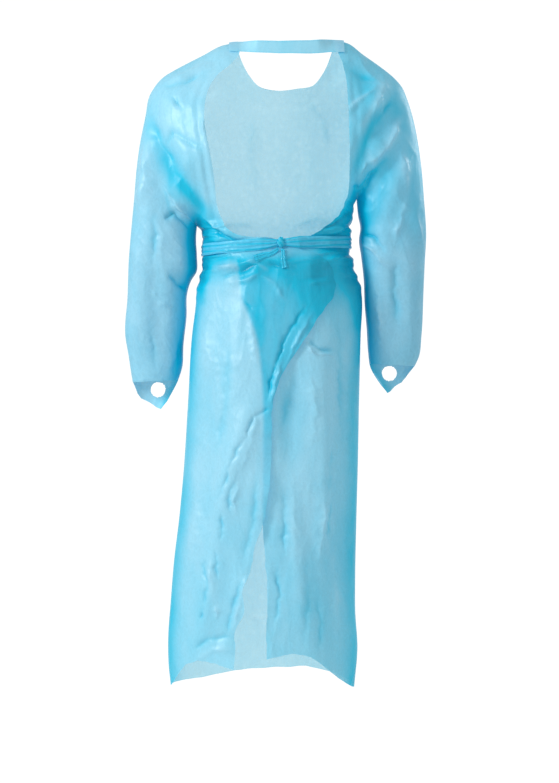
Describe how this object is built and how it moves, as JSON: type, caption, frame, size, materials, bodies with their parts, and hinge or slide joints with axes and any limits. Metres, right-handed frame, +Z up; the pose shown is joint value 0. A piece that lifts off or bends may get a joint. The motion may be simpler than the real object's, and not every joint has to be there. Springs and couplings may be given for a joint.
{
  "type": "isolation gown",
  "caption": "Open-back isolation gown of thin blue plastic film in its worn, hollow form, with thumb loops, a neck strap and a knotted waist tie.",
  "frame": {"origin": "middle of the neck between both shoulders, at the height where the gown rests on its wearer's shoulders", "axes": "+Z up, +Y the way the wearer faces (the open back faces -Y), +X to the wearer's right"},
  "size_m": [0.5583, 0.2584, 1.1928],
  "materials": {
    "panel_film": "thin translucent film, soft sheen, finely creased",
    "sleeve_film": "thin translucent film, soft sheen, finely creased",
    "strap_film": "thin translucent film, soft sheen",
    "tie_film": "folded thin film, soft sheen"
  },
  "bodies": {
    "root": {"front_top": "panel_film", "front_skirt": "panel_film", "back_left_top": "panel_film", "back_left_skirt": "panel_film", "back_right_top": "panel_film", "back_right_skirt": "panel_film", "sleeve_left_upper": "sleeve_film", "sleeve_left_fore": "sleeve_film", "sleeve_left_cuff": "sleeve_film", "sleeve_right_upper": "sleeve_film", "sleeve_right_fore": "sleeve_film", "sleeve_right_cuff": "sleeve_film", "neck_strap": "strap_film", "tie_left": "tie_film", "tie_right": "tie_film", "tie_knot": "tie_film", "tie_end_left": "tie_film", "tie_end_right": "tie_film"}
  },
  "joints": []
}
